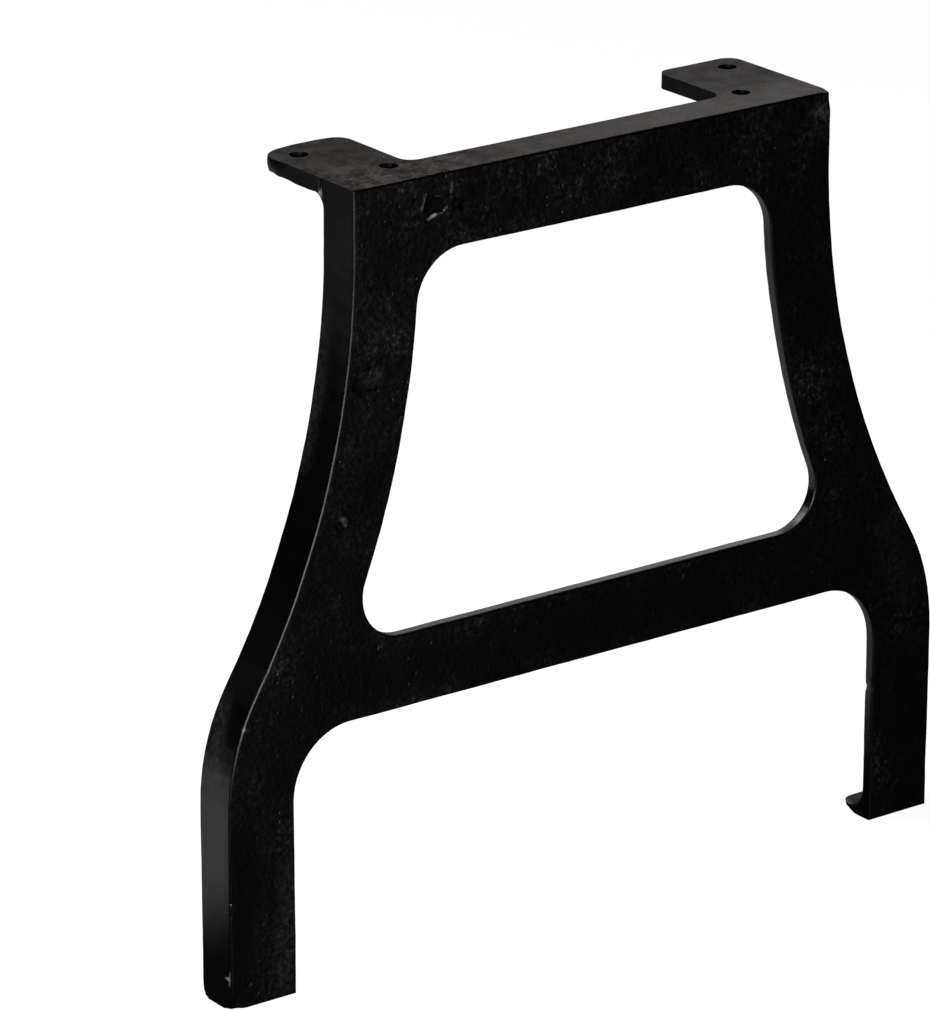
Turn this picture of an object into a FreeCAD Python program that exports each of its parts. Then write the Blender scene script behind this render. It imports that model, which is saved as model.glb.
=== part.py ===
import FreeCAD, Part
import math
import os

# Sizes of the leg, in millimetres
leg_height = 420.0
foot_span = 460.0
top_span = 303.0
bar_width = 40.0
web_thickness = 8.0
flange_depth = 26.0
rim_thickness = 5.0
seat_thickness = 8.0

# Curved outer edge: upright at the top, then a hollow sweep, a round shoulder and an upright foot
top_upright = 32.0
foot_upright = 106.0
shoulder_radius = 118.0

# Window, cross rail and the space between the feet
rail_underside = 141.0
window_top_radius = 28.0
window_foot_radius = 24.0
knee_radius = 35.0

# Tabs that carry the table top, each with two bolt holes set on a slant
tab_depth = 83.0
tab_width = 51.0
tab_corner_radius = 8.0
worn_corner_radius = 14.0
tab_root_radius = 8.0
hole_diameter = 10.0
outer_hole_side_gap = 14.5
outer_hole_end_gap = 15.0
inner_hole_side_gap = 11.5
inner_hole_setback = 25.7

# Casting details
root_radius = 11.0
pocket_corner_ease = 1.0
toe_thickness = 5.0
toe_corner_radius = 8.0
rim_round = 2.5
front_round = 1.5

# Sizes that follow from those above
foot_half = foot_span / 2
top_half = top_span / 2
tab_inner = top_half - tab_width
rail_top = rail_underside + bar_width
window_top = leg_height - bar_width
seat_underside = leg_height - seat_thickness
sweep_top = leg_height - top_upright
sweep_run = sweep_top - foot_upright
turn = 2 * math.atan((foot_half - top_half) / sweep_run)
hollow_radius = sweep_run / math.sin(turn) - shoulder_radius
overrun = web_thickness


def at(x, z, y=0.0):
    return FreeCAD.Vector(x, y, z)


def same(a, b):
    """Equal to within a thousandth of a millimetre."""
    return abs(a - b) < 0.001


def on_hollow(angle, inset):
    """Point of the hollow sweep, which has its centre outside the leg."""
    radius = hollow_radius + inset
    x = top_half + hollow_radius - radius * math.cos(angle)
    z = sweep_top - radius * math.sin(angle)
    return at(x, z)


def on_shoulder(angle, inset):
    """Point of the round shoulder above the foot."""
    radius = shoulder_radius - inset
    x = foot_half - shoulder_radius + radius * math.cos(angle)
    z = foot_upright + radius * math.sin(angle)
    return at(x, z)


def right_side(inset, upper, lower):
    """Right edge of the leg from the height upper down to lower, moved in by inset."""
    start = at(top_half - inset, upper)
    bend = on_hollow(0, inset)
    middle = on_hollow(turn, inset)
    foot = on_shoulder(0, inset)
    end = at(foot_half - inset, lower)
    hollow = Part.Arc(bend, on_hollow(turn / 2, inset), middle)
    shoulder = Part.Arc(middle, on_shoulder(turn / 2, inset), foot)
    return [Part.makeLine(start, bend), hollow.toShape(), shoulder.toShape(), Part.makeLine(foot, end)]


def outline(inset, upper, lower):
    """Closed outline of the leg between two heights, moved in at both sides by inset."""
    right = right_side(inset, upper, lower)
    left = [edge.mirror(at(0, 0), at(1, 0)) for edge in right]
    ends = [
        Part.makeLine(at(inset - top_half, upper), at(top_half - inset, upper)),
        Part.makeLine(at(inset - foot_half, lower), at(foot_half - inset, lower)),
    ]
    return Part.Wire(Part.__sortEdges__(right + left + ends))


def prism(wire, front, back):
    """Solid that fills a closed outline between two depths."""
    face = Part.Face(wire)
    face.translate(at(0, 0, front))
    return face.extrude(at(0, 0, back - front))


def edges_through(solid, height):
    """Edges that run straight from front to back at one height."""
    found = []
    for edge in solid.Edges:
        box = edge.BoundBox
        if same(box.XLength, 0) and same(box.ZMin, height) and same(box.ZMax, height):
            found.append(edge)
    return found


def edges_at_depth(solid, depth):
    """Edges that lie at one depth behind the front face."""
    found = []
    for edge in solid.Edges:
        box = edge.BoundBox
        if same(box.YMin, depth) and same(box.YMax, depth):
            found.append(edge)
    return found


def pocket():
    """Space behind the web, inside the flange, with round corners and a round floor edge."""
    inner = outline(rim_thickness, seat_underside, toe_thickness)
    space = prism(inner, web_thickness, flange_depth + overrun)
    corners = edges_through(space, seat_underside) + edges_through(space, toe_thickness)
    space = space.makeFillet(root_radius + pocket_corner_ease, corners)
    return space.makeFillet(root_radius, edges_at_depth(space, web_thickness))


def window():
    """Opening between the stiles, its sides at one bar width from the outer edge."""
    inside = prism(outline(bar_width, leg_height, 0), -overrun, flange_depth + overrun)
    depth = flange_depth + 2 * overrun
    level = Part.makeBox(foot_span, depth, window_top - rail_top, at(-foot_half, rail_top, -overrun))
    hole = inside.common(level)
    hole = hole.makeFillet(window_top_radius, edges_through(hole, window_top))
    return hole.makeFillet(window_foot_radius, edges_through(hole, rail_top))


def foot_space():
    """Opening between the feet under the cross rail."""
    width = foot_span - 2 * bar_width
    depth = flange_depth + 2 * overrun
    space = Part.makeBox(width, depth, rail_underside + overrun, at(-width / 2, -overrun, -overrun))
    return space.makeFillet(knee_radius, edges_through(space, rail_underside))


def corner_piece(corner, across, along, extrusion):
    """Filler or cutter for one corner, hollowed to a quarter round that touches both its sides."""
    centre = corner + across + along
    touch_a = corner + across
    touch_b = corner + along
    middle = centre - (across + along) * math.sqrt(0.5)
    edges = [
        Part.makeLine(corner, touch_a),
        Part.Arc(touch_a, middle, touch_b).toShape(),
        Part.makeLine(touch_b, corner),
    ]
    return Part.Face(Part.Wire(edges)).extrude(extrusion)


def tab(side, outer_corner_radius):
    """Tab on one side of the leg, -1 for left and 1 for right, faired into the rail and the flange."""
    out = at(side, 0)
    down = at(0, -1)
    back = at(0, 0, 1)
    through = at(0, seat_thickness)
    left_edge = min(side * tab_inner, side * top_half)
    plate = Part.makeBox(tab_width, tab_depth, seat_thickness, at(left_edge, seat_underside))
    outer_end = at(side * top_half, seat_underside, tab_depth)
    inner_end = at(side * tab_inner, seat_underside, tab_depth)
    reach = outer_corner_radius
    plate = plate.cut(corner_piece(outer_end, out * -reach, back * -reach, through))
    reach = tab_corner_radius
    plate = plate.cut(corner_piece(inner_end, out * reach, back * -reach, through))
    rail_corner = at(side * tab_inner, seat_underside, flange_depth)
    reach = tab_root_radius
    plate = plate.fuse(corner_piece(rail_corner, out * -reach, back * reach, through))
    rim_corner = at(side * (top_half - rim_thickness), seat_underside, flange_depth)
    return plate.fuse(corner_piece(rim_corner, down * reach, back * reach, out * rim_thickness))


def bolt_holes():
    """Two drilled holes through each tab."""
    inner = (tab_inner + inner_hole_side_gap, inner_hole_setback)
    outer = (top_half - outer_hole_side_gap, tab_depth - outer_hole_end_gap)
    holes = []
    for side in (-1, 1):
        for x, y in (inner, outer):
            start = at(side * x, seat_underside - overrun, y)
            holes.append(Part.makeCylinder(hole_diameter / 2, seat_thickness + 2 * overrun, start))
    return holes


def toe_corner(side):
    """Cutter that rounds the inner back corner of a foot."""
    corner = at(side * (foot_half - bar_width), 0, flange_depth)
    out = at(side * toe_corner_radius, 0)
    forward = at(0, 0, -toe_corner_radius)
    return corner_piece(corner, out, forward, at(0, toe_thickness + root_radius + overrun))


def rim_edges(body, opening):
    """Edges that run round an opening at the back of the web."""
    box = opening.BoundBox
    box.enlarge(overrun / 2)
    return [edge for edge in edges_at_depth(body, web_thickness) if box.isInside(edge.BoundBox)]


def frame():
    """Web, flange and toes with both openings, the rims of the openings round at the back."""
    body = prism(outline(0, leg_height, 0), 0, flange_depth).cut(pocket())
    for opening in (window(), foot_space()):
        body = body.cut(opening)
        body = body.makeFillet(rim_round, rim_edges(body, opening))
    return body


def leg_casting():
    """The whole leg, with its front face turned to -Y and its origin under its middle."""
    body = frame()
    for cutter in (toe_corner(-1), toe_corner(1)):
        body = body.cut(cutter)
    body = body.fuse(tab(-1, worn_corner_radius))
    body = body.fuse(tab(1, tab_corner_radius)).removeSplitter()
    for hole in bolt_holes():
        body = body.cut(hole)
    body = body.makeFillet(front_round, edges_at_depth(body, 0))
    body.translate(at(0, 0, -tab_depth / 2))
    return body


os.makedirs("parts", exist_ok=True)
leg_casting().exportStep("parts/leg_casting.step")
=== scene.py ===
import bisect
import math

import bmesh
import bpy
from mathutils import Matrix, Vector, noise


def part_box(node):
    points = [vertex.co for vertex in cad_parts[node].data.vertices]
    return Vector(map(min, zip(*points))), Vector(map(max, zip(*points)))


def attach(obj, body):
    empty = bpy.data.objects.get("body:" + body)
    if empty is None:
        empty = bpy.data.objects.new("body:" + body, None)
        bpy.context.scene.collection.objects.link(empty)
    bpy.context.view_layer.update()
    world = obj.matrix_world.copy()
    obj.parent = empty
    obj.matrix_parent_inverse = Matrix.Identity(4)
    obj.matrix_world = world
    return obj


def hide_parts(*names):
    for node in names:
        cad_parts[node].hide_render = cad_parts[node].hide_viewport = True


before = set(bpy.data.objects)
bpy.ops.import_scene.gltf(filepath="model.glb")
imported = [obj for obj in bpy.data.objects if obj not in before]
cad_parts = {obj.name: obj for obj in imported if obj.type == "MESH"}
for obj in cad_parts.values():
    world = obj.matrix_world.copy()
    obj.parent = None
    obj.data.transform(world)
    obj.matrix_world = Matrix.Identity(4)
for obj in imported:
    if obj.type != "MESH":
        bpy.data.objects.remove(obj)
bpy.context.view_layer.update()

# The leg: one piece of grey iron poured in a sand mould. Its skin is cut into small cells here, so that
# the waves, dents and rough rims which the mould and the years left on it can be given to the metal.
MM = 0.001
cell = 2.9
small_cell = 1.0
front = -41.5


def planes(low, high, gap):
    """Places of cutting planes at even gaps between two places, the first a share of a gap in; in mm."""
    first = 0.37
    count = int((high - low) / gap)
    return [(low + gap * (step + first)) * MM for step in range(count + 1)]


def sliced(points, faces, axis, cuts, chosen):
    """Cuts the chosen flat faces along planes across one axis; neighbours share points of common edges."""
    shared = {}

    def crossing(a, b, cut):
        key = (min(a, b), max(a, b), cut)
        if key not in shared:
            share = (cut - points[a][axis]) / (points[b][axis] - points[a][axis])
            shared[key] = len(points)
            points.append(points[a].lerp(points[b], share))
        return shared[key]

    def cuts_between(places):
        return cuts[bisect.bisect_right(cuts, min(places)):bisect.bisect_left(cuts, max(places))]

    def with_shared_points(face):
        corners = []
        for a, b in zip(face, face[1:] + face[:1]):
            low, high = sorted((a, b), key=lambda i: points[i][axis])
            found = []
            for cut in cuts_between((points[a][axis], points[b][axis])):
                key = (min(low, high), max(low, high), cut)
                if key in shared:
                    low = shared[key]
                    found.append(low)
            corners.append(a)
            corners += found if points[a][axis] < points[b][axis] else found[::-1]
        return corners

    pieces = []
    left_whole = []
    for face in faces:
        if not chosen(face):
            left_whole.append(face)
            continue
        for cut in cuts_between([points[i][axis] for i in face]):
            below = []
            above = []
            for a, b in zip(face, face[1:] + face[:1]):
                a_is_above = points[a][axis] > cut
                (above if a_is_above else below).append(a)
                if a_is_above != (points[b][axis] > cut):
                    corner = crossing(a, b, cut)
                    below.append(corner)
                    above.append(corner)
            pieces.append(below)
            face = above
        pieces.append(face)
    return pieces + [with_shared_points(face) for face in left_whole]


def every_face(face):
    return True


def sliced_in_box(points, faces, corner, far_corner):
    """Cuts the faces inside a box, given in millimetres, into the small cells."""
    surround = 2.5 * cell

    def inside(face, margin=0.0):
        spot = points[face[0]] / MM
        return all(corner[i] - margin <= spot[i] <= far_corner[i] + margin for i in range(3))

    far_faces = [face for face in faces if not inside(face, surround)]
    near_faces = [face for face in faces if inside(face, surround)]
    for axis in range(3):
        cuts = planes(corner[axis], far_corner[axis], small_cell)
        near_faces = sliced(points, near_faces, axis, cuts, inside)
    return far_faces + near_faces


def welded(mesh):
    """Points and faces of a mesh, with points that lie on each other made one."""
    same_place = 0.01 * MM
    points = []
    known = {}
    index = []
    for vertex in mesh.vertices:
        key = tuple(round(c / same_place) for c in vertex.co)
        if key not in known:
            known[key] = len(points)
            points.append(vertex.co.copy())
        index.append(known[key])
    faces = [[index[i] for i in face.vertices] for face in mesh.polygons]
    return points, [face for face in faces if len(set(face)) == len(face)]


# Marks on the front face, in millimetres: from (x, z), to (x, z), reach, how deep the metal is sunk, and
# the share of bright iron colour there, which is worn paint on chips and scratches and a painted highlight
# on the lumps; a share below nothing takes the grey haze away instead, for black patches and for painted
# shadows
# Large patches where the grey haze is taken away, so that the face is blacker there
black_patches = (
    ((-150.0, 160.0), (70.0, 160.0), 27.0, 0.0, -0.95),
    ((-175.0, 185.0), (-203.0, 105.0), 27.0, 0.0, -0.85),
    ((-145.0, 215.0), (-165.0, 165.0), 24.0, 0.0, -0.8),
    ((-222.0, 100.0), (-224.0, 10.0), 19.0, 0.0, -0.95),
    ((210.0, 110.0), (216.0, 10.0), 22.0, 0.0, -0.5),
    ((120.0, 388.0), (116.0, 345.0), 17.0, 0.0, -0.7),
    ((-60.0, 398.0), (-20.0, 410.0), 13.0, 0.0, -0.5),
)
# Large patches with a little bright iron colour mixed in, so that the face is paler there
paler_patches = (
    ((196.0, 168.0), (212.0, 120.0), 20.0, 0.0, 0.070),
    ((-150.0, 290.0), (-147.0, 392.0), 16.0, 0.0, 0.035),
    ((-194.0, 72.0), (-197.0, 12.0), 14.0, 0.0, 0.080),
    ((-150.0, 143.0), (-100.0, 143.0), 8.0, 0.0, 0.040),
    ((60.0, 384.0), (100.0, 400.0), 14.0, 0.0, 0.030),
)
# A scar of gouges near the top: dents in the metal, black patches, and pale strokes of bright iron that
# are scratches and in part painted glints
scar = (
    ((-103.5, 404.0), (-98.0, 404.5), 7.5, 1.4, -0.9),
    ((-106.4, 397.7), (-104.4, 398.2), 1.3, -0.3, 0.5),
    ((-103.9, 398.6), (-101.6, 399.3), 1.6, -0.4, 0.7),
    ((-100.0, 399.0), (-98.0, 399.2), 1.1, -0.2, 0.45),
    ((-96.8, 400.1), (-94.2, 402.0), 1.2, -0.3, 0.6),
    ((-107.9, 410.5), (-109.7, 403.2), 1.4, -0.5, 0.32),
    ((-101.0, 408.6), (-96.9, 407.0), 1.4, -0.2, 0.24),
    ((-91.9, 412.6), (-92.5, 408.8), 1.5, -0.4, 0.24),
    ((-89.0, 402.4), (-84.5, 401.6), 4.5, 0.9, -0.9),
    ((-87.3, 400.5), (-87.3, 398.0), 1.8, -0.6, 0.06),
    ((-77.5, 397.9), (-77.0, 397.0), 1.8, -0.5, 0.06),
    ((-71.5, 391.0), (-69.0, 396.0), 2.0, -0.5, 0.05),
    ((-80.0, 392.0), (-58.0, 389.0), 8.0, 0.5, -0.7),
    ((-78.0, 405.0), (-66.0, 408.0), 7.0, 0.3, -0.7),
)
# Lumps and a crease on the left stile, raised and sunk in the metal; the paler shares on them are painted
# highlights, the black shares beside them painted shadows
stile_lumps_lit_and_shaded = (
    ((-136.6, 321.0), (-136.6, 323.0), 8.5, -1.3, 0.055),
    ((-149.4, 326.9), (-142.0, 328.2), 2.4, 0.3, -0.3),
    ((-142.0, 328.2), (-134.3, 332.6), 2.4, 0.4, -0.4),
    ((-146.0, 324.6), (-140.0, 326.2), 1.8, -0.3, 0.02),
    ((-140.0, 326.2), (-133.0, 330.6), 1.8, -0.4, 0.05),
    ((-150.0, 319.4), (-145.5, 314.5), 5.0, 0.9, -0.95),
    ((-144.0, 316.2), (-140.0, 316.8), 2.0, -0.5, 0.06),
    ((-159.6, 251.0), (-158.2, 250.2), 3.0, -0.8, 0.20),
    ((-159.0, 247.6), (-157.4, 247.4), 2.8, -0.7, 0.22),
    ((-162.2, 248.0), (-160.4, 245.6), 2.3, 0.7, -0.9),
    ((-155.4, 246.6), (-154.8, 248.0), 1.9, 0.5, -0.9),
)
marks = []
for (x, z), (far_x, far_z), reach, sink, share in black_patches + paler_patches + scar + stile_lumps_lit_and_shaded:
    start = Vector((x, front, z))
    end = Vector((far_x, front, far_z))
    marks.append((start, end, reach, Vector((0.0, sink, 0.0)), share))

# Marks on the outer sides, the edges and the tabs: from and to as (x, y, z), reach, the way the metal is
# moved, and the share of bright iron, which on the left flank is a painted sheen and at one spot a painted
# highlight
# Painted sheen: the back half of the left flank is made paler, standing in for a reflection
flank_painted_sheen = (
    ((-153.1, -17.0, 350.7), (-158.0, -17.0, 313.7), 13.0, (0.0, 0.0, 0.0), 0.070),
    ((-158.0, -17.0, 313.7), (-166.1, -17.0, 277.3), 13.0, (0.0, 0.0, 0.0), 0.075),
    ((-218.0, -18.0, 157.0), (-228.2, -27.0, 126.5), 15.0, (0.0, 0.0, 0.0), 0.085),
)
worn_edges_and_highlight = (
    ((-206.5, -41.0, 181.0), (-206.5, -41.0, 181.0), 5.0, (0.4, 0.3, 0.0), 0.0),
    # Painted highlight: a bright spot where the reflected highlight along the left edge ends
    ((-220.3, -41.3, 152.0), (-220.3, -41.3, 152.0), 1.8, (0.0, 0.0, 0.0), 0.5),
    ((-229.3, -41.0, 59.6), (-229.3, -41.0, 59.2), 1.1, (0.2, 0.2, 0.0), 0.6),
    ((-229.3, -41.0, 53.0), (-229.3, -41.0, 52.6), 1.0, (0.2, 0.2, 0.0), 0.25),
    ((-230.0, -40.0, 21.5), (-230.0, -39.4, 14.0), 2.4, (0.1, 0.1, 0.0), 0.34),
    ((-230.0, -38.8, 17.8), (-230.0, -36.0, 17.4), 2.6, (0.1, 0.0, 0.0), 0.44),
    ((-230.0, -23.4, 20.0), (-230.0, -22.6, 20.0), 1.8, (0.2, 0.0, 0.0), 0.15),
    ((-230.0, front, 0.0), (-229.0, front, 0.0), 8.0, (1.3, 1.0, 1.0), 0.0),
    ((-230.0, -15.5, 0.0), (-230.0, -15.5, 0.0), 5.0, (0.8, -0.6, 0.6), 0.0),
    ((191.0, -18.5, 0.0), (203.0, -15.5, 0.0), 11.0, (0.0, -0.4, 3.4), 0.0),
    ((191.0, -18.5, 6.5), (203.0, -15.5, 6.5), 9.0, (0.0, 0.0, -2.4), 0.0),
    ((190.0, -36.0, 77.5), (190.0, -34.5, 76.5), 3.2, (1.2, 0.0, 0.0), 0.0),
    ((190.0, -41.0, 79.5), (190.0, -41.0, 79.5), 3.0, (0.6, 0.3, 0.0), 0.0),
    ((151.5, front, 420.0), (151.5, front, 418.0), 8.0, (-0.4, 0.6, -0.9), 0.0),
    ((142.5, front, 410.5), (147.5, front, 408.5), 6.5, (0.0, -0.4, 0.0), 0.19),
)
left_tab_marks = (
    ((-124.0, 41.5, 416.0), (-118.0, 41.5, 416.0), 16.0, (0.0, 1.6, 0.0), 0.0),
    ((-148.0, 34.0, 416.0), (-151.5, 26.0, 416.0), 8.0, (-1.0, 0.3, 0.0), 0.0),
    ((-151.5, 28.0, 412.0), (-143.0, 40.0, 412.0), 5.0, (0.3, -0.3, 0.7), 0.0),
    ((-151.5, 8.0, 412.0), (-151.5, -3.0, 412.0), 7.0, (0.0, 0.0, -0.5), 0.0),
    ((-119.3, 38.2, 420.0), (-118.3, 38.4, 420.0), 2.8, (0.0, 0.0, -0.9), 0.0),
    ((-130.4, 31.4, 420.0), (-131.4, 30.0, 420.0), 2.0, (0.0, 0.0, -0.5), 0.12),
    ((-151.5, -12.4, 419.0), (-151.5, -13.4, 413.0), 1.7, (-0.9, 0.0, 0.0), 0.10),
    ((-151.5, -13.6, 413.0), (-151.5, -13.8, 411.5), 1.9, (-0.7, 0.0, -0.3), 0.45),
)
for start, end, reach, push, share in flank_painted_sheen + worn_edges_and_highlight + left_tab_marks:
    marks.append((Vector(start), Vector(end), reach, Vector(push), share))

# Boxes round the smallest marks, where the skin needs the small cells
marked_boxes = (
    ((-112.0, front - 1.0, 386.0), (-66.0, front + 1.0, 415.0)),
    ((-155.0, front - 1.0, 311.0), (-129.0, front + 1.0, 335.0)),
    ((-167.0, front - 1.0, 241.0), (-150.0, front + 1.0, 256.0)),
    ((-231.0, front - 1.0, 10.0), (-226.0, -31.0, 25.0)),
    ((-231.0, front - 1.0, 50.0), (-226.0, -38.0, 62.0)),
    ((-152.0, -18.0, 408.0), (-148.0, -8.0, 421.0)),
)


def between(value, low, high):
    """Soft step from nothing at low to one at high."""
    share = min(1.0, max(0.0, (value - low) / (high - low)))
    return share * share * (3.0 - 2.0 * share)


def nearness(spot, start, end, reach):
    """One on the line of a mark, nothing from its reach on."""
    run = end - start
    offset = spot - start
    if offset.length > reach + run.length:
        return 0.0
    share = offset.dot(run) / run.dot(run) if run.length > 0 else 0.0
    gap = (offset - run * min(1.0, max(0.0, share))).length
    return max(0.0, 1.0 - (gap / reach) ** 2) ** 2


def cast_skin(point):
    """Where a point of the smooth solid lies on the real casting, and its share of bright iron colour:
    worn paint, painted highlights and sheen; below nothing, black patches and painted shadows.
    """
    wave_length = 34 * MM
    wave_height = 0.22
    ripple_length = 7 * MM
    ripple_height = 0.09
    rough_gain = 1.6
    ground_off = 0.85
    spot = point / MM
    rough_end = between(spot.y, 36.0, 41.0)
    rough_toe = between(spot.z, 18.0, 6.0) * between(spot.y, -34.0, -22.0)
    roughened = 1.0 + rough_gain * rough_end + rough_gain * rough_toe
    move = noise.noise_vector(point / wave_length) * wave_height
    move += noise.noise_vector(point / ripple_length) * ripple_height * roughened
    move.z *= between(spot.z, 0.0, 6.0) * (1.0 - ground_off * between(spot.z, 414.0, 419.0))
    wear_and_painted_light = 0.0
    for start, end, reach, push, share in marks:
        near = nearness(spot, start, end, reach)
        if near > 0:
            move += push * near
            wear_and_painted_light += (share - wear_and_painted_light) * near
    moved = point + move * MM
    moved.z = max(0.0, moved.z)
    return moved, wear_and_painted_light


mould_seed = 7
noise.seed_set(mould_seed)
smallest_edge = 0.1 * MM
sharpest_bend = math.radians(52)
points, faces = welded(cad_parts["leg_casting"].data)
low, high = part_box("leg_casting")
for axis in range(3):
    cuts = planes(low[axis] / MM, high[axis] / MM, cell)
    faces = sliced(points, faces, axis, cuts, every_face)
for corner, far_corner in marked_boxes:
    faces = sliced_in_box(points, faces, corner, far_corner)
skin = bpy.data.meshes.new("leg_casting_skin")
skin.from_pydata(points, [], faces)
tidied = bmesh.new()
tidied.from_mesh(skin)
bmesh.ops.remove_doubles(tidied, verts=tidied.verts, dist=smallest_edge)
tidied.to_mesh(skin)
tidied.free()
# The share of bright iron colour, worn paint and painted light, is kept on the skin for the finish
bare_iron_and_painted_light = skin.attributes.new("bare_iron_and_painted_light", "FLOAT", "POINT")
for vertex, wear_and_light_value in zip(skin.vertices, bare_iron_and_painted_light.data):
    vertex.co, wear_and_light_value.value = cast_skin(vertex.co)
skin.shade_smooth()
skin.set_sharp_from_angle(angle=sharpest_bend)
leg = bpy.data.objects.new("leg_casting_skin", skin)
bpy.context.scene.collection.objects.link(leg)
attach(leg, "root")
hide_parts("leg_casting")


# The finish of the leg: black satin paint brushed over sand-cast grain. The seat faces on top were ground
# flat, so they are smoother and brown-grey; where the paint was knocked off, bright iron shows, and the
# same bright colour is painted on as highlights and sheen.
class Shade:
    """A value in a node tree; arithmetic on it adds Math nodes."""

    def __init__(self, tree, socket=None):
        self.tree = tree
        self.socket = socket

    def make(self, kind, settings=None, sockets=None, output=0):
        """Adds any other node: its settings come first, then the values or links of its sockets."""
        node = self.tree.nodes.new(kind)
        for name, value in (settings or {}).items():
            setattr(node, name, value)
        for name, value in (sockets or {}).items():
            if isinstance(value, Shade):
                self.tree.links.new(value.socket, node.inputs[name])
            else:
                node.inputs[name].default_value = value
        return Shade(self.tree, node.outputs[output] if node.outputs else None)

    def maths(self, operation, a, b):
        return self.make("ShaderNodeMath", {"operation": operation}, {0: a, 1: b})

    def __add__(self, other):
        return self.maths("ADD", self, other)

    def __sub__(self, other):
        return self.maths("SUBTRACT", self, other)

    def __mul__(self, other):
        return self.maths("MULTIPLY", self, other)

    def __rsub__(self, other):
        return self.maths("SUBTRACT", other, self)

    __radd__ = __add__
    __rmul__ = __mul__

    def step(self, low, high):
        """Soft step from nothing at low to one at high."""
        sockets = {"Value": self, "From Min": low, "From Max": high}
        return self.make("ShaderNodeMapRange", {"interpolation_type": "SMOOTHSTEP"}, sockets)

    def part(self, axis):
        """One of the three numbers of a vector or colour."""
        return self.make("ShaderNodeSeparateXYZ", None, {0: self}, axis)

    def noise(self, size, detail=2.0):
        """Cloudy noise with lumps of about this size, in metres, at the places in this vector."""
        sockets = {"Vector": self, "Scale": 0.5 / size, "Detail": detail}
        return self.make("ShaderNodeTexNoise", None, sockets, "Fac")

    def blend(self, a, b):
        """Colour a where this value is nothing, colour b where it is one."""
        return self.make("ShaderNodeMix", {"data_type": "RGBA"}, {0: self, 6: a, 7: b}, 2)


paint = bpy.data.materials.new("black_paint_on_cast_iron")
paint.use_nodes = True
paint.node_tree.nodes.clear()
maker = Shade(paint.node_tree)
place = maker.make("ShaderNodeTexCoord", output="Object")
facing = maker.make("ShaderNodeNewGeometry", output="Normal")
depth = place.part(1)
height = place.part(2)
side_on, front_on, up_on = (facing.part(axis) for axis in range(3))

# Where each kind of surface is
seat = up_on.step(0.80, 0.95) * height.step(0.4180, 0.4190)
web_face = (front_on * front_on).step(0.88, 0.98)
flank = (side_on * side_on).step(0.5, 0.9)
tab_end = depth.step(-0.028, 0.008)
# Share of bright iron colour from the marks: worn paint, painted highlights and sheen; below nothing,
# black patches and painted shadows
worn_and_painted_light = maker.make("ShaderNodeAttribute", {"attribute_name": "bare_iron_and_painted_light"}, output="Fac")
chipped_and_highlight = worn_and_painted_light.step(0.0, 1.0)
black_patch_and_shadow = worn_and_painted_light.step(0.0, -1.0)

# Grain of the sand, lumps, and pits that the sand left in some patches
pits_per_metre = 210.0
grain_depth = 0.0013
pit_cells = {"Vector": place, "Scale": pits_per_metre}
pit_distance = maker.make("ShaderNodeTexVoronoi", None, pit_cells, "Distance")
pit_choice = maker.make("ShaderNodeTexVoronoi", None, pit_cells, "Color").part(0)
patches = place.noise(0.030, 3.0)
smears = place.noise(0.008, 3.0)
pitted = pit_choice.step(0.70, 0.86) * patches.step(0.42, 0.60)
fine_grain = place.noise(0.0006, 2.0)
grain = place.noise(0.0014, 3.0)
lumps = place.noise(0.0060, 2.0)
sand = fine_grain * 0.4 + grain * 0.6
pit_distance = pit_distance + 0.5 * grain - 0.25
# The pits are also painted: black inside as painted shade, paler on the rims as painted highlight
pits = (1 - pit_distance.step(0.10, 0.26)) * pitted
pit_rim_highlights = pit_distance.step(0.14, 0.24) * (1 - pit_distance.step(0.28, 0.40)) * pitted
relief = 0.05 + 0.95 * web_face + 0.10 * seat
surface = (fine_grain * 0.30 + grain * 0.55 + lumps * 0.80 - pits * 0.55) * relief
bump_sockets = {"Strength": 1.0, "Distance": grain_depth, "Height": surface}
bumps = maker.make("ShaderNodeBump", None, bump_sockets, "Normal")

# How thick the grey haze, the sandy speckle and the pale specks lie on the black; the specks take in
# painted highlights on the pit rims
haze = (0.30 + 0.70 * patches.step(0.34, 0.64)) * (0.55 + 0.45 * smears.step(0.36, 0.62))
haze = haze * (1 - 0.75 * black_patch_and_shadow)
clusters = (0.10 + 0.9 * smears.step(0.40, 0.64)) * (0.25 + 0.9 * patches.step(0.40, 0.64))
clusters = clusters * (1 - black_patch_and_shadow)
hollows = 1 - sand.step(0.38, 0.52)
speckle = sand.step(0.50, 0.66) * clusters
specks = grain.step(0.61, 0.72) * fine_grain.step(0.52, 0.64)
specks = specks + 0.45 * pit_rim_highlights * fine_grain.step(0.48, 0.62)
mottling = (lumps * 0.55 + grain * 0.45).step(0.40, 0.62)

black = (0.0005, 0.0005, 0.0005, 1.0)
sooty_black = (0.0070, 0.0068, 0.0066, 1.0)
sand_grey = (0.0340, 0.0336, 0.0332, 1.0)
speck_grey = (0.070, 0.069, 0.068, 1.0)
ground_brown = (0.0070, 0.0040, 0.0032, 1.0)
ground_grey = (0.0480, 0.0385, 0.0355, 1.0)
bright_iron_and_highlight = (0.50, 0.49, 0.48, 1.0)
colour = (web_face * haze * (1 - 0.9 * hollows)).blend(black, sooty_black)
colour = (web_face * speckle).blend(colour, sand_grey)
colour = (web_face * specks * clusters).blend(colour, speck_grey)
colour = seat.blend(colour, (mottling * (1 - 0.9 * tab_end)).blend(ground_brown, ground_grey))
# Painted shade: the pits are painted black inside
colour = (0.75 * pits * (seat + web_face)).blend(colour, black)
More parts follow.
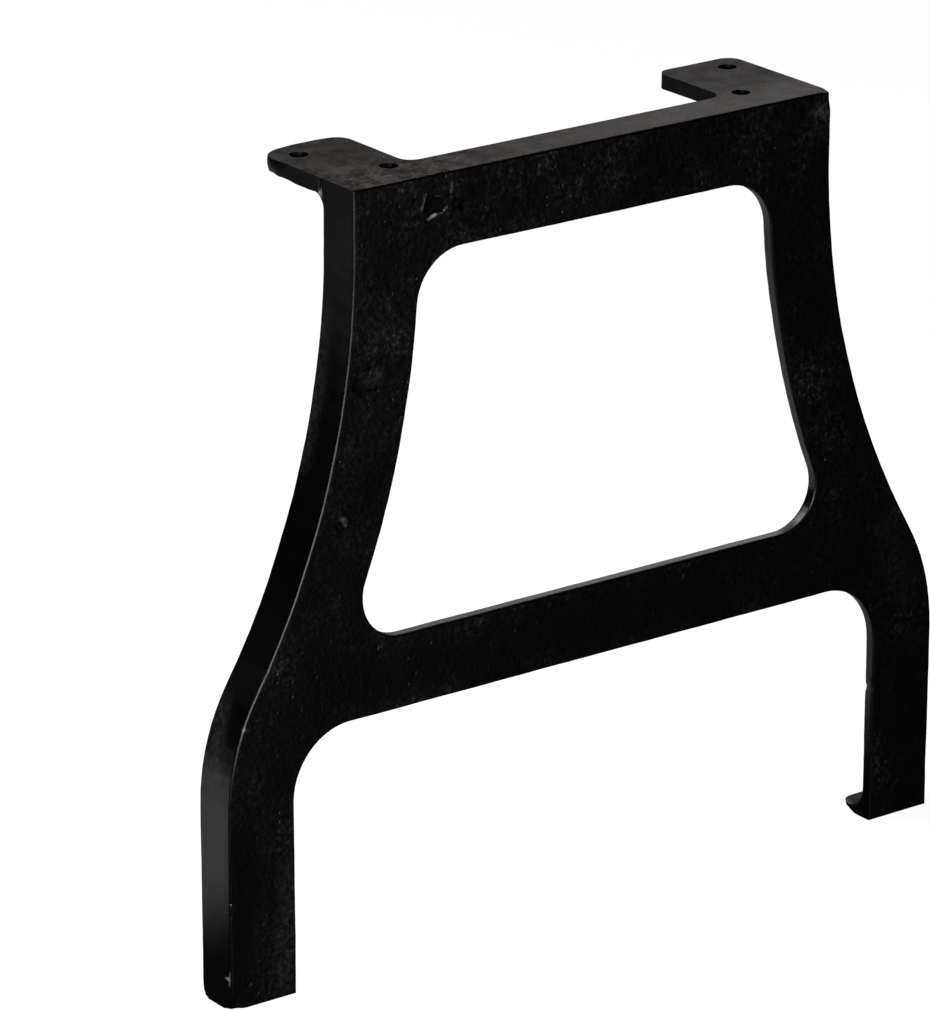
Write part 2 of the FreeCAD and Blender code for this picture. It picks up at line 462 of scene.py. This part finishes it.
# Bright iron where the paint is worn off; the same colour also makes the painted highlights and sheen of
# the marks
colour = (chipped_and_highlight * (0.35 + 0.9 * grain.step(0.35, 0.6))).blend(colour, bright_iron_and_highlight)
roughness = 0.34 + 0.10 * patches + 0.08 * web_face - 0.16 * flank
roughness = roughness + seat * (0.10 * tab_end + 0.18 * mottling - 0.06)
iron = maker.make("ShaderNodeBsdfPrincipled", None, {
    "Base Color": colour,
    "Roughness": roughness,
    "Specular IOR Level": 0.40,
    "Normal": bumps,
}, "BSDF")
maker.make("ShaderNodeOutputMaterial", None, {"Surface": iron})
skin.materials.append(paint)

# The stage: a flat floor, which the camera sees as plain white with a soft shadow. To the black metal it
# is a dark studio floor with a painted pool of light behind the leg to the left, fading as a painted
# shadow near the leg, and a pale part at the back right.
floor_half = 4.0
corners = [(x * floor_half, y * floor_half, 0) for x, y in ((-1, -1), (1, -1), (1, 1), (-1, 1))]
sheet = bpy.data.meshes.new("floor")
sheet.from_pydata(corners, [], [(0, 1, 2, 3)])
floor = bpy.data.objects.new("floor", sheet)
bpy.context.scene.collection.objects.link(floor)

floor_paint = bpy.data.materials.new("pale_floor")
floor_paint.use_nodes = True
floor_paint.node_tree.nodes.clear()
maker = Shade(floor_paint.node_tree)
seen = maker.make("ShaderNodeLightPath", output="Is Camera Ray")
floor_place = maker.make("ShaderNodeTexCoord", output="Object")
floor_across = floor_place.part(0)
floor_depth = floor_place.part(1)
pool_middle = (-0.14, 0.30, 0.0)
pool_sockets = {0: floor_place, 1: pool_middle}
pool_distance = maker.make("ShaderNodeVectorMath", {"operation": "DISTANCE"}, pool_sockets, "Value")
# Painted light: a pool of light on the floor, which the metal sees and the camera does not
painted_light_pool = 0.85 * (1 - pool_distance.step(0.35, 0.80)) + 0.26 * (1 - pool_distance.step(1.0, 4.0))
behind_right = floor_across.step(0.15, 0.55) * floor_depth.step(0.45, 0.85)
# Painted shadow: the pool fades out towards the leg
lit = painted_light_pool * floor_depth.step(0.02, 0.13) + 0.9 * behind_right
floor_dark = (0.02, 0.02, 0.02, 1.0)
floor_lit = (0.42, 0.42, 0.42, 1.0)
floor_white = (0.9, 0.9, 0.9, 1.0)
floor_colour = seen.blend(lit.blend(floor_dark, floor_lit), floor_white)
matt = maker.make("ShaderNodeBsdfDiffuse", None, {"Color": floor_colour})
glow_share = 0.86
glow_strength = 1.1
white = maker.make("ShaderNodeEmission", None, {"Strength": glow_strength})
mixed = maker.make("ShaderNodeMixShader", None, {0: seen * glow_share, 1: matt, 2: white})
maker.make("ShaderNodeOutputMaterial", None, {"Surface": mixed})
sheet.materials.append(floor_paint)

# The light: a white backdrop as the camera sees it, and for the metal a dim room that is a little brighter
# at the back right. Of four soft boxes one stands at the front left, for the faces and the rounded edge,
# two at the back, for the seat and the cross rail, and one above, for the floor.
world = bpy.data.worlds.new("studio")
bpy.context.scene.world = world
world.use_nodes = True
world.node_tree.nodes.clear()
maker = Shade(world.node_tree)
seen = maker.make("ShaderNodeLightPath", output="Is Camera Ray")
direction = maker.make("ShaderNodeTexCoord", output="Generated")
to_right, to_back, rise = (direction.part(axis) for axis in range(3))
back_right = to_right.step(0.0, 0.5) * to_back.step(0.1, 0.6)
room = 0.005 + 0.03 * back_right * rise.step(0.0, 0.4)
room = room + 0.04 * back_right * (1 - rise.step(0.02, 0.2))
strength = seen + (1 - seen) * room
backdrop = maker.make("ShaderNodeBackground", None, {"Strength": strength})
maker.make("ShaderNodeOutputWorld", None, {"Surface": backdrop})


def soft_box(name, place, aim, width, tall, watts):
    """Area lamp at a place, turned to a point, which the camera doesn't see."""
    lamp = bpy.data.lights.new(name, "AREA")
    lamp.shape = "RECTANGLE"
    lamp.size = width
    lamp.size_y = tall
    lamp.energy = watts
    box = bpy.data.objects.new(name, lamp)
    box.location = place
    box.rotation_euler = (Vector(aim) - Vector(place)).to_track_quat("-Z", "Y").to_euler()
    box.visible_camera = False
    bpy.context.scene.collection.objects.link(box)


soft_box("left_front_box", (-1.0, -0.65, 0.5), (-0.15, 0, 0.25), 0.75, 0.5, 12.5)
soft_box("back_box", (0.95, 0.92, 0.85), (0.1, 0, 0.42), 0.45, 0.35, 0.38)
soft_box("low_back_box", (0.333, 0.416, 0.386), (0.0, -0.04, 0.181), 0.50, 0.08, 0.4)
soft_box("top_box", (-0.5, 0.9, 1.6), (-0.1, 0.25, 0), 1.0, 1.0, 31)

# The camera: a long lens about three metres off, above and to the left of the front face. The picture is
# 930 wide and 1010 tall, and the focal length is given in its pixels, so the longer side sets the lens.
eye = Vector((-1.7262, -2.2834, 1.2500))
turn = math.radians(36.225)
tilt = math.radians(19.931)
long_side = 1010
focal_length = 5842.06
view = Vector((math.sin(turn) * math.cos(tilt), math.cos(turn) * math.cos(tilt), -math.sin(tilt)))
lens = bpy.data.cameras.new("camera")
lens.sensor_width = 36.0
lens.lens = focal_length * lens.sensor_width / long_side
lens.clip_end = 50.0
camera = bpy.data.objects.new("camera", lens)
camera.location = eye
camera.rotation_euler = view.to_track_quat("-Z", "Y").to_euler()
bpy.context.scene.collection.objects.link(camera)
bpy.context.scene.camera = camera
bpy.context.scene.view_settings.view_transform = "Standard"
